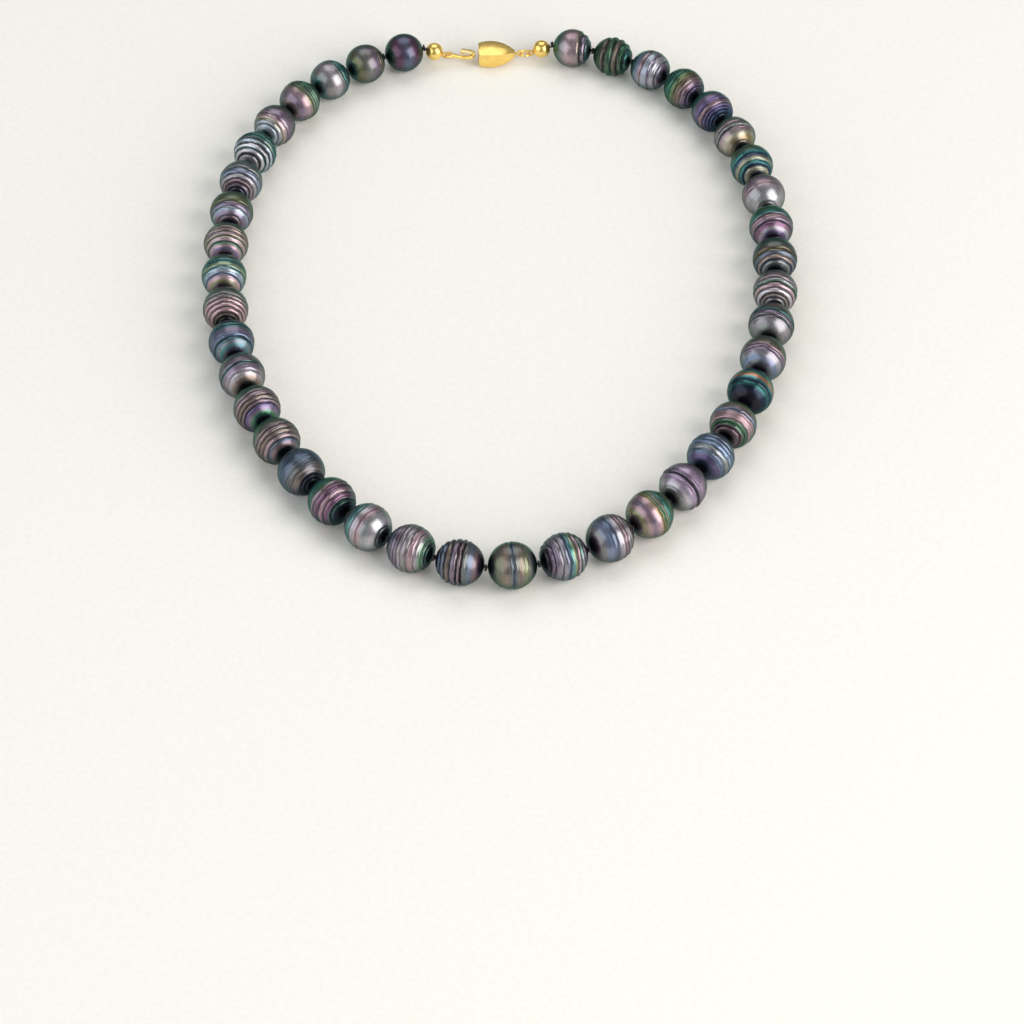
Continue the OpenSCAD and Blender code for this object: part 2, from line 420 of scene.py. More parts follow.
def growth_lines_group() -> bpy.types.NodeTree:
    """Fine lines that run round a pearl along its growth, and soft clouds, as two masks.

    Returns:
        The shader group.
    """
    tree = new_group("growth lines", "ShaderNodeTree", [
        ("INPUT", "Fineness", "Float", 60.0), ("INPUT", "Seed", "Float", 0.0),
        ("OUTPUT", "Lines", "Float", None), ("OUTPUT", "Clouds", "Float", None)])
    hand = TreeHand(tree)
    given = hand.add("NodeGroupInput")
    growth = hand.add("ShaderNodeAttribute", attribute_name="growth").outputs["Fac"]
    local = hand.add("ShaderNodeAttribute", attribute_name="local").outputs["Vector"]
    around = hand.scale(local, 1.3)
    run = hand.combine(0.0, 0.0, hand.math("MULTIPLY", growth, given.outputs["Fineness"]))
    flat = hand.vector("MULTIPLY", around, (1.0, 1.0, 0.0))
    lines = hand.noise(hand.vector("ADD", run, flat), 1.0, 3.0, given.outputs["Seed"])
    clouds = hand.noise(local, 1.6, 2.0, given.outputs["Seed"])
    hand.add("NodeGroupOutput", {"Lines": lines, "Clouds": clouds})
    return tree


def metal_wear_group() -> bpy.types.NodeTree:
    """Hairline scratches and soft cloudiness of worn polished metal, as two masks.

    Returns:
        The shader group.
    """
    tree = new_group("metal wear", "ShaderNodeTree", [
        ("OUTPUT", "Scratches", "Float", None), ("OUTPUT", "Clouds", "Float", None)])
    hand = TreeHand(tree)
    place = hand.add("ShaderNodeTexCoord").outputs["Object"]
    scratches = hand.noise(hand.vector("MULTIPLY", place, (9000.0, 900.0, 2500.0)), 1.0, 4.0, 3.0)
    clouds = hand.noise(hand.scale(place, 700.0), 1.0, 2.0, 7.0)
    hand.add("NodeGroupOutput", {"Scratches": scratches, "Clouds": clouds})
    return tree


class SharedGroups:
    """The shader groups that more than one finish uses, each built once."""

    def __init__(self) -> None:
        """Builds the groups."""
        self.growth_lines = growth_lines_group()
        self.metal_wear = metal_wear_group()


@dataclass(frozen=True)
class Band:
    """A colour at one latitude of a pearl, from -90 at the hook's side to 90 at the box's side."""

    latitude: float
    nacre: Nacre
    gain: float = 1.0


@dataclass(frozen=True)
class NacreFinish:
    """One pearl's skin: its colour bands, ring and rim colours, overtone, caps of painted shade at the ends
    of its hole, and gloss.

    The ring colour darkens each groove, partly as a dark growth line in the nacre and partly as painted shade
    in the groove. The darkened rim colour is painted in towards the outline as seen from the camera: partly
    the tint that the nacre shows at its edge, partly painted shade and painted dark reflection. The caps are
    painted shade for the shadow and the dark reflection of the neighbouring pearl at each knot. A cap begins
    cap_begins degrees before its latitude and is full cap_full degrees past it. The drift is how far the soft
    clouds carry a band, as a share of 90 degrees.
    """

    bands: tuple[Band, ...]
    rim: Nacre = Nacre.GREEN
    overtone: Nacre = Nacre.ROSE
    overtone_share: float = 0.3
    ring: Nacre = Nacre.BLACK
    cap: float = 68.0
    cap_shade: float = 0.97
    rim_share: float = 0.85
    fineness: float = 34.0
    line_strength: float = 0.18
    roughness: float = 0.27
    film_nm: float = 380.0
    seed: float = 0.0
    groove_line_and_shade_share: float = 0.82
    rim_shade_gain: float = 0.4
    cap_gain: float = 0.7
    cap_begins: float = 15.0
    cap_full: float = 4.0
    metallic: float = 0.75
    tint: tuple[float, float, float, float] = (0.45, 0.66, 0.58, 1.0)
    drift: float = 0.12

    def build(self, name: str, groups: SharedGroups) -> bpy.types.Material:
        """Makes the material.

        Args:
            name: The material's name.
            groups: The shared shader groups.

        Returns:
            The nacre material.
        """
        material, hand = new_material(name)
        growth = hand.add("ShaderNodeAttribute", attribute_name="growth").outputs["Fac"]
        groove = hand.add("ShaderNodeAttribute", attribute_name="groove").outputs["Fac"]
        marks = hand.add("ShaderNodeGroup", {"Fineness": self.fineness, "Seed": self.seed},
                         node_tree=groups.growth_lines)
        lines, clouds = marks.outputs["Lines"], marks.outputs["Clouds"]
        colour = self.banded(hand, growth, lines, clouds)
        # The ring colour darkens each groove: partly a dark growth line in the nacre, partly painted shade in
        # the groove.
        sunk = hand.math("MULTIPLY", groove, self.groove_line_and_shade_share)
        colour = hand.mix("MIX", sunk, colour, rgba(self.ring.value))
        # Painted shade at the outline: towards the edge as seen from the camera the colour goes over to the
        # darkened rim colour. This stands for shade and the dark surroundings' reflection, tinted as the
        # nacre is at its edge.
        facing = hand.add("ShaderNodeLayerWeight", {"Blend": 0.5}).outputs["Facing"]
        rim = hand.spread(facing, 0.3, 0.85, 0.0, self.rim_share)
        colour = hand.mix("MIX", rim, colour, rgba(self.rim.value, self.rim_shade_gain))
        # Painted shade at both ends of the hole: the colour goes over to darkened black, for the shadow and
        # the dark reflection of the neighbouring pearl at each knot.
        cap = hand.spread(hand.math("ABSOLUTE", growth), (self.cap - self.cap_begins) / 90,
                          (self.cap + self.cap_full) / 90, 0.0, self.cap_shade)
        colour = hand.mix("MIX", cap, colour, rgba(Nacre.BLACK.value, self.cap_gain))
        rough = hand.spread(lines, 0.3, 0.7, self.roughness - 0.05, self.roughness + 0.08)
        bump = hand.add("ShaderNodeBump", {"Height": lines, "Strength": self.line_strength,
                                           "Distance": 0.025 * MM})
        shader = hand.add("ShaderNodeBsdfPrincipled", {
            "Base Color": colour, "Roughness": rough, "Normal": bump.outputs[0],
            "Metallic": self.metallic, "Specular Tint": self.tint, "IOR": 1.6, "Coat Weight": 0.15,
            "Coat Roughness": 0.2, "Coat IOR": 1.5, "Thin Film Thickness": self.film_nm,
            "Thin Film IOR": 1.5})
        hand.add("ShaderNodeOutputMaterial", {"Surface": shader.outputs[0]})
        return material

    def banded(self, hand: TreeHand, growth: Any, lines: Any, clouds: Any) -> bpy.types.NodeSocket:
        """The skin's colour bands, with an overtone in clouds and fine lines.

        Args:
            hand: The hand on the material's tree.
            growth: The latitude as a share of 90 degrees.
            lines: The fine growth lines.
            clouds: The soft clouds.

        Returns:
            The colour.
        """
        drift = hand.math("MULTIPLY_ADD", clouds, self.drift, -self.drift / 2)
        along = hand.math("MULTIPLY_ADD", hand.math("ADD", growth, drift), 0.5, 0.5)
        ramp = hand.add("ShaderNodeValToRGB", {0: along})
        ramp.color_ramp.interpolation = "EASE"
        stops = ramp.color_ramp.elements
        while len(stops) > 1:
            stops.remove(stops[-1])
        for number, band in enumerate(self.bands):
            position = (band.latitude / 90 + 1) / 2
            stop = stops[0] if number == 0 else stops.new(position)
            stop.position = position
            stop.color = rgba(band.nacre.value, band.gain)
        patch = hand.spread(clouds, 0.42, 0.62, 0.0, self.overtone_share)
        colour = hand.mix("MIX", patch, ramp.outputs[0], rgba(self.overtone.value))
        light = hand.spread(lines, 0.3, 0.7, 1 - self.line_strength, 1 + self.line_strength)
        return hand.shade(colour, light)


@dataclass(frozen=True)
class GoldFinish:
    """Yellow gold: its colour, how fine its polish is and how worn."""

    colour: Colour = (1.0, 0.71, 0.21)
    roughness: float = 0.2
    scratch: float = 0.10
    metallic: float = 0.88

    def build(self, name: str, groups: SharedGroups) -> bpy.types.Material:
        """Makes the material.

        Args:
            name: The material's name.
            groups: The shared shader groups.

        Returns:
            The gold material.
        """
        material, hand = new_material(name)
        wear = hand.add("ShaderNodeGroup", node_tree=groups.metal_wear)
        rough = hand.spread(wear.outputs["Scratches"], 0.35, 0.75, self.roughness,
                            self.roughness + self.scratch)
        colour = hand.shade(rgba(self.colour), hand.spread(wear.outputs["Clouds"], 0.3, 0.7, 0.86, 1.08))
        bump = hand.add("ShaderNodeBump", {"Height": wear.outputs["Clouds"], "Strength": 0.2,
                                           "Distance": 0.08 * MM})
        shader = hand.add("ShaderNodeBsdfPrincipled", {
            "Base Color": colour, "Roughness": rough, "Normal": bump.outputs[0],
            "Metallic": self.metallic})
        hand.add("ShaderNodeOutputMaterial", {"Surface": shader.outputs[0]})
        return material


@dataclass(frozen=True)
class SilkFinish:
    """Dark twisted silk."""

    colour: Colour = (0.020, 0.016, 0.020)
    strand_scale: float = 5200.0

    def build(self, name: str) -> bpy.types.Material:
        """Makes the material.

        Args:
            name: The material's name.

        Returns:
            The silk material.
        """
        material, hand = new_material(name)
        place = hand.add("ShaderNodeTexCoord").outputs["Object"]
        fibres = hand.noise(place, self.strand_scale, 3.0, 1.0)
        colour = hand.shade(rgba(self.colour), hand.spread(fibres, 0.3, 0.7, 0.6, 1.9))
        bump = hand.add("ShaderNodeBump", {"Height": fibres, "Strength": 0.6, "Distance": 0.05 * MM})
        shader = hand.add("ShaderNodeBsdfPrincipled", {
            "Base Color": colour, "Roughness": 0.55, "Normal": bump.outputs[0], "Sheen Weight": 0.3,
            "Sheen Roughness": 0.4})
        hand.add("ShaderNodeOutputMaterial", {"Surface": shader.outputs[0]})
        return material


# ---------------------------------------------------------------- pearls

@dataclass(frozen=True)
class Ring:
    """One growth ring: its latitude in degrees, and how deep it is as a share of the radius."""

    latitude: float
    depth: float = 0.04


@dataclass(frozen=True)
class PearlForm:
    """One pearl's shape and skin."""

    slot: str
    rings: tuple[Ring, ...]
    finish: NacreFinish
    width: float = 4.5
    oval: float = 0.99
    slim: float = 0.985
    tilt: float = 0.04
    waver: float = 0.03


class PearlTree:
    """The Geometry Nodes tree that grows one ringed pearl with a drilled hole."""

    around = 88
    along = 190
    bore_rows = 4
    most_rings = 8
    skin_share = 0.985
    mean_swell = 0.62
    wander = 0.09
    bore_share = 0.97
    full_groove = 0.036
    groove_power = 1.8
    swelling_middle = 1.5
    swelling_width = 0.9
    swelling_power = 1.5
    swelling_share = 0.3
    weld = 2e-6

    def __init__(self) -> None:
        """Builds the tree."""
        sockets = [("OUTPUT", "Geometry", "Geometry", None), ("INPUT", "Radius", "Float", 0.005),
                   ("INPUT", "Hole radius", "Float", 0.00045), ("INPUT", "Oval", "Float", 1.0),
                   ("INPUT", "Slim", "Float", 1.0), ("INPUT", "Tilt", "Float", 0.05),
                   ("INPUT", "Waver", "Float", 0.02), ("INPUT", "Ring width", "Float", 0.1),
                   ("INPUT", "Seed", "Float", 0.0), ("INPUT", "Skin", "Material", None)]
        for number in range(1, self.most_rings + 1):
            sockets.append(("INPUT", f"Ring {number} place", "Float", 0.0))
            sockets.append(("INPUT", f"Ring {number} depth", "Float", 0.0))
        self.tree = new_group("ringed pearl", "GeometryNodeTree", sockets)
        self.build()

    def build(self) -> None:
        """Fills the tree: a sheet is rolled into a drilled ball, and rings sink into its skin."""
        hand = TreeHand(self.tree)
        given = hand.add("NodeGroupInput").outputs
        sheet = hand.add("GeometryNodeMeshGrid", {0: 1.0, 1: 1.0, 2: self.around + 1, 3: self.along + 1})
        spot = hand.add("ShaderNodeSeparateXYZ", {0: hand.add("GeometryNodeInputPosition").outputs[0]})
        turn = hand.math("MULTIPLY", hand.math("ADD", spot.outputs[0], 0.5), math.tau)
        row = hand.math("ADD", spot.outputs[1], 0.5)
        outer_share = 1 - self.bore_rows / self.along
        outer = hand.math("MINIMUM", hand.math("DIVIDE", row, outer_share), 1.0)
        inner = hand.math("MAXIMUM", hand.math("DIVIDE", hand.math("SUBTRACT", row, outer_share),
                                               1 - outer_share), 0.0)
        hole = hand.math("DIVIDE", given["Hole radius"], given["Radius"])
        hole_angle = hand.math("ARCSINE", hole)
        sweep = hand.math("SUBTRACT", math.pi, hand.math("MULTIPLY", hole_angle, 2.0))
        angle = hand.math("ADD", hole_angle, hand.math("MULTIPLY", outer, sweep))
        height = hand.math("MULTIPLY", hand.math("COSINE", angle), -1.0)
        rim = hand.math("SINE", angle)
        c, s = hand.math("COSINE", turn), hand.math("SINE", turn)
        local = hand.combine(hand.math("MULTIPLY", rim, c), hand.math("MULTIPLY", rim, s), height)
        swell = hand.noise(local, 1.1, 1.0, given["Seed"])
        ripple = hand.noise(local, 3.2, 1.0, hand.math("ADD", given["Seed"], 5.0))
        lean = hand.math("MULTIPLY", hand.math("MULTIPLY", given["Tilt"], rim),
                         hand.math("COSINE", hand.math("ADD", turn, given["Seed"])))
        wander = hand.math("MULTIPLY", rim, hand.math("MULTIPLY_ADD", ripple, self.wander, -self.wander / 2))
        latitude = hand.math("SUBTRACT", hand.math("DIVIDE", angle, math.pi / 2), 1.0)
        growth = hand.math("ADD", hand.math("ADD", latitude, lean), wander)
        groove = None
        for number in range(1, self.most_rings + 1):
            part = self.ring(hand, growth, given["Ring width"], given[f"Ring {number} place"],
                             given[f"Ring {number} depth"])
            groove = part if groove is None else hand.math("ADD", groove, part)
        fade = hand.math("MULTIPLY_ADD", hand.noise(local, 1.4, 0.0, hand.math("ADD", given["Seed"], 9.0)),
                         1.0, 0.5)
        groove = hand.math("MULTIPLY", groove, fade)
        unevenness = hand.math("MULTIPLY", given["Waver"], hand.math("SUBTRACT", swell, self.mean_swell))
        skin = hand.math("SUBTRACT", hand.math("ADD", self.skin_share, unevenness), groove)
        across = hand.math("MULTIPLY", hand.math("MULTIPLY", rim, given["Slim"]), skin)
        lengthwise = hand.math("MULTIPLY", height, hand.math("MULTIPLY", skin, given["Oval"]))
        outside = hand.combine(hand.math("MULTIPLY", across, c), hand.math("MULTIPLY", across, s), lengthwise)
        end = hand.math("MULTIPLY", hand.math("COSINE", hole_angle),
                        hand.math("MULTIPLY", given["Oval"], self.bore_share))
        bore = hand.combine(hand.math("MULTIPLY", hole, c), hand.math("MULTIPLY", hole, s),
                            hand.math("MULTIPLY", end, hand.math("MULTIPLY_ADD", inner, -2.0, 1.0)))
        inside = hand.math("GREATER_THAN", row, outer_share + 0.2 / self.along)
        where = hand.add("ShaderNodeMix", {0: inside, 4: outside, 5: bore}, data_type="VECTOR").outputs[1]
        ball = hand.add("GeometryNodeSetPosition", {"Geometry": sheet.outputs[0],
                                                    "Position": hand.scale(where, given["Radius"])})
        self.finish(hand, ball.outputs[0], given, growth, groove, local)

    def ring(self, hand: TreeHand, growth: Any, width: Any, place: Any, depth: Any) -> bpy.types.NodeSocket:
        """One ring: a sharp groove with a low swelling on each side of it.

        Args:
            hand: The hand on the tree.
            growth: The latitude at each point.
            width: Half the groove's width.
            place: The ring's latitude.
            depth: The groove's depth.

        Returns:
            How far the skin sinks.
        """
        away = hand.math("DIVIDE", hand.math("ABSOLUTE", hand.math("SUBTRACT", growth, place)), width)
        sunk = hand.math("POWER", hand.math("MAXIMUM", hand.math("SUBTRACT", 1.0, away), 0.0),
                         self.groove_power)
        beside = hand.math("DIVIDE", hand.math("ABSOLUTE", hand.math("SUBTRACT", away, self.swelling_middle)),
                           self.swelling_width)
        swollen = hand.math("POWER", hand.math("MAXIMUM", hand.math("SUBTRACT", 1.0, beside), 0.0),
                            self.swelling_power)
        return hand.math("MULTIPLY", depth, hand.math("MULTIPLY_ADD", swollen, -self.swelling_share, sunk))

    def finish(self, hand: TreeHand, shape: Any, given: Any, growth: Any, groove: Any, local: Any) -> None:
        """Keeps the growth, the ring mask and the local place for the skin, and welds the seam.

        The fields are read on the flat sheet, before the ball is rolled, so they are stored there.

        Args:
            hand: The hand on the tree.
            shape: The rolled ball.
            given: The tree's inputs.
            growth: The latitude at each point.
            groove: How far the skin sinks at each point.
            local: The place on a ball of radius 1.
        """
        rolled = shape.node
        sheet = rolled.inputs["Geometry"].links[0].from_socket
        share = hand.math("DIVIDE", groove, self.full_groove)
        deepest = hand.math("MAXIMUM", hand.math("MINIMUM", share, 1.0), 0.0)
        for name, value, kind in (("growth", growth, "FLOAT"), ("groove", deepest, "FLOAT"),
                                  ("local", local, "FLOAT_VECTOR")):
            kept = hand.add("GeometryNodeStoreNamedAttribute", {"Geometry": sheet, "Name": name},
                            data_type=kind, domain="POINT")
            hand.feed(kept.inputs["Value"], value)
            sheet = kept.outputs[0]
        hand.feed(rolled.inputs["Geometry"], sheet)
        welded = hand.add("GeometryNodeMergeByDistance", {"Geometry": shape, "Distance": self.weld})
        hand.finish_mesh(welded.outputs[0], given["Skin"])


def rings(*latitudes: float, depth: float = 0.04) -> tuple[Ring, ...]:
    """Rings of one depth at these latitudes."""
    return tuple(Ring(latitude, depth) for latitude in latitudes)


def bands(*stops: tuple[float, Nacre, float] | tuple[float, Nacre]) -> tuple[Band, ...]:
    """Colour bands from (latitude, nacre) or (latitude, nacre, gain), in order."""
    return tuple(Band(*stop) for stop in stops)


def hook_arm() -> list[PearlForm]:
    """The forms of pearls 1 to 20, from the clasp's hook to the centre pearl.

    Returns:
        The forms, in order.
    """
    f, N = NacreFinish, Nacre
    # Band colours are set from the pearls as seen. Besides the nacre's own bands, some bright bands are
    # partly painted highlight run all round the pearl, and the dark bands at the ends are partly painted
    # shade near the knots.
    return [
        PearlForm("pearl_navy", (), f(
            bands((-60, N.GREEN, 0.6), (-25, N.PLUM, 1.2), (8, N.BLUE, 0.75), (35, N.PLUM, 1.4),
                  (62, N.GREEN, 0.6)),
            N.GREEN, N.PLUM, 0.35)),
        PearlForm("pearl_silver", rings(-26, -37, depth=0.03), f(
            bands((-55, N.GREEN), (-35, N.BRONZE), (-12, N.MAUVE, 0.7), (15, N.PEWTER, 1.1),
                  (45, N.OLIVE, 0.7), (65, N.TEAL)),
            N.GREEN, N.BRONZE), width=3),
        PearlForm("pearl_silver", rings(-18, depth=0.04), f(
            bands((-50, N.TEAL, 0.8), (-20, N.TEAL), (-8, N.PEWTER), (12, N.SILVER, 0.8),
                  (35, N.PEWTER, 1.3), (65, N.TEAL)),
            N.TEAL, N.ROSE), width=3.8),
        PearlForm("pearl_rose", rings(2, -8, -18, depth=0.045), f(
            bands((-50, N.GREEN), (-10, N.GREEN), (4, N.OLIVE, 0.7), (18, N.ROSE, 0.9), (40, N.MAUVE),
                  (65, N.BRONZE)),
            N.GREEN, N.SILVER), width=3),
        PearlForm("pearl_mauve", rings(18, 35, 50, depth=0.03), f(
            bands((-45, N.BRONZE, 0.8), (10, N.MAUVE, 0.9), (24, N.ROSE), (34, N.CREAM, 0.65),
                  (46, N.ICE, 0.7), (58, N.ICE, 0.9), (72, N.TEAL)),
            N.GREEN, N.SILVER, cap=74)),
        PearlForm("pearl_green", rings(-8, 8, 23, 39, 56, depth=0.055), f(
            bands((-40, N.PEWTER, 0.6), (-2, N.TEAL), (8, N.PEWTER, 0.9), (16, N.ICE, 1.2), (23, N.PEWTER),
                  (31, N.SILVER, 1.5), (39, N.TEAL, 1.2), (47, N.SILVER, 1.3), (56, N.PEWTER, 0.7),
                  (65, N.SILVER, 0.8)),
            N.TEAL, N.OLIVE, 0.15, cap=78), width=5),
        PearlForm("pearl_green", rings(6, 26, 42, 54, 66, depth=0.045), f(
            bands((-40, N.PEWTER, 0.8), (4, N.PEWTER, 1.1), (18, N.BLUE, 1.2), (33, N.SILVER, 0.7),
                  (48, N.ROSE, 0.7), (60, N.MAUVE, 0.6), (74, N.NAVY)),
            N.TEAL, N.SILVER, cap=74)),
        PearlForm("pearl_silver", rings(12, 30, 56, depth=0.03), f(
            bands((-40, N.PEWTER, 0.6), (8, N.OLIVE, 0.8), (24, N.MAUVE), (36, N.ICE, 0.8), (48, N.MAUVE),
                  (60, N.ROSE, 0.6), (74, N.VIOLET, 0.6)),
            N.GREEN, N.BLUE)),
        PearlForm("pearl_rose", rings(-6, 6, 22, 38, depth=0.045), f(
            bands((-30, N.GREEN, 0.8), (0, N.BRONZE, 1.2), (14, N.ROSE), (22, N.OLIVE), (31, N.ROSE, 1.2),
                  (42, N.GREEN, 1.4), (49, N.ROSE, 1.1), (57, N.VIOLET, 1.2), (66, N.ROSE, 0.6),
                  (76, N.PLUM, 0.6)),
            N.GREEN, N.SILVER, 0.2), width=3.8),
        PearlForm("pearl_green", rings(-4, 17, 38, depth=0.032), f(
            bands((-25, N.PEWTER), (2, N.TEAL, 1.2), (10, N.OLIVE, 1.6), (18, N.TEAL, 1.1),
                  (28, N.ICE, 0.9), (37, N.BLUE, 1.2), (47, N.ROSE, 1.2), (57, N.OLIVE, 0.9), (68, N.PLUM)),
            N.GREEN, N.SILVER, 0.2, cap=74), width=3.8),
        PearlForm("pearl_rose", rings(2, 16, 29, 42, 56, 67, depth=0.05), f(
            bands((-30, N.PEWTER, 0.8), (8, N.PEWTER, 1.2), (22, N.ROSE, 1.1), (35, N.ROSE, 1.3),
                  (49, N.ROSE, 1.1), (60, N.BRONZE), (72, N.PLUM, 0.6)),
            N.GREEN, N.BRONZE, 0.25), width=3.8),
        PearlForm("pearl_mauve", (Ring(-4, 0.03), Ring(34, 0.06)), f(
            bands((-25, N.GREEN, 0.6), (-2, N.TEAL), (14, N.MAUVE), (30, N.BLUE, 0.9), (38, N.TEAL, 1.1),
                  (48, N.PEWTER, 1.2), (56, N.TEAL, 1.4), (66, N.MAUVE, 0.8)),
            N.PLUM, N.BLUE, 0.6)),
        PearlForm("pearl_silver", (Ring(12, 0.045), Ring(36, 0.02)), f(
            bands((-20, N.BLUE, 0.8), (6, N.MAUVE), (12, N.TEAL), (24, N.MAUVE, 1.1), (42, N.SILVER, 0.9),
                  (58, N.BRONZE, 1.9), (68, N.BRONZE)),
            N.OLIVE, N.BRONZE, cap=64)),
        PearlForm("pearl_mauve", rings(-4, 11, 24, 35, depth=0.045), f(
            bands((-25, N.GREEN), (4, N.ROSE, 0.8), (18, N.BRONZE, 1.2), (30, N.ROSE, 0.7),
                  (40, N.VIOLET, 1.1), (50, N.MAUVE), (58, N.GREEN, 1.6), (72, N.TEAL, 0.6)),
            N.GREEN, N.BLUE, 0.2), width=3.8),
        PearlForm("pearl_rose", rings(0, 14, 27, 41, depth=0.045), f(
            bands((-35, N.GREEN), (6, N.ROSE, 0.7), (20, N.BRONZE, 1.2), (33, N.ROSE, 0.9),
                  (45, N.BLUE, 0.7), (56, N.ROSE, 0.9), (68, N.GREEN, 0.6)),
            N.GREEN, N.PEWTER, 0.35, cap=64), width=3.8),
        PearlForm("pearl_navy", rings(58, 68, depth=0.05), f(
            bands((-40, N.BLUE, 0.5), (0, N.BLUE, 0.6), (25, N.PEWTER, 0.65), (45, N.BRONZE, 0.9),
                  (60, N.VIOLET, 0.5), (72, N.BLACK)),
            N.BLUE, N.BLUE, fineness=42.0, line_strength=1.0, roughness=0.3, cap=62)),
        PearlForm("pearl_mauve", (Ring(0), Ring(16, 0.03), Ring(31, 0.05), Ring(51, 0.065)), f(
            bands((-40, N.TEAL, 1.2), (-12, N.GREEN, 1.2), (0, N.ROSE, 0.9), (13, N.PLUM, 1.5),
                  (24, N.ROSE, 0.8), (40, N.PLUM, 1.9), (52, N.GREEN), (62, N.NAVY, 1.2)),
            N.TEAL, N.VIOLET, cap=62), width=4.5),
        PearlForm("pearl_silver", rings(-12, 10, 62, 70, depth=0.025), f(
            bands((-45, N.PEWTER, 1.1), (-18, N.TEAL, 1.4), (-5, N.SILVER, 0.8), (12, N.ROSE, 0.95),
                  (28, N.PEWTER, 1.9), (48, N.SILVER, 0.95), (60, N.PEWTER, 1.3), (72, N.NAVY)),
            N.PEWTER, N.ICE, 0.2, cap=70, rim_share=0.75)),
        PearlForm("pearl_silver", rings(-33, -21, -11, 1, 16, 33, 52, 62, depth=0.03), f(
            bands((-45, N.BLUE, 0.7), (-16, N.MAUVE, 0.9), (2, N.SILVER, 0.75), (12, N.PEWTER, 1.2),
                  (25, N.ROSE, 0.95), (38, N.SILVER, 0.7), (50, N.GREEN, 1.8), (62, N.TEAL, 0.7)),
            N.PEWTER, N.ROSE, cap=68, rim_share=0.75), width=3.8),
        PearlForm("pearl_mauve", (Ring(-46, 0.05), Ring(-30, 0.06), Ring(-16, 0.06), Ring(1, 0.07),
                                  Ring(12, 0.08)), f(
            bands((-60, N.NAVY, 1.3), (-38, N.BLUE, 0.8), (-22, N.BRONZE, 1.3), (-8, N.MAUVE, 0.9),
                  (6, N.ROSE, 0.6), (20, N.PEWTER, 0.8), (34, N.BLUE, 0.9), (46, N.ROSE, 0.5),
                  (56, N.PLUM, 1.6)),
            N.PLUM, N.PEWTER, 0.25, cap=66), width=4.5, oval=1.0, slim=0.94, tilt=0.02),
    ]


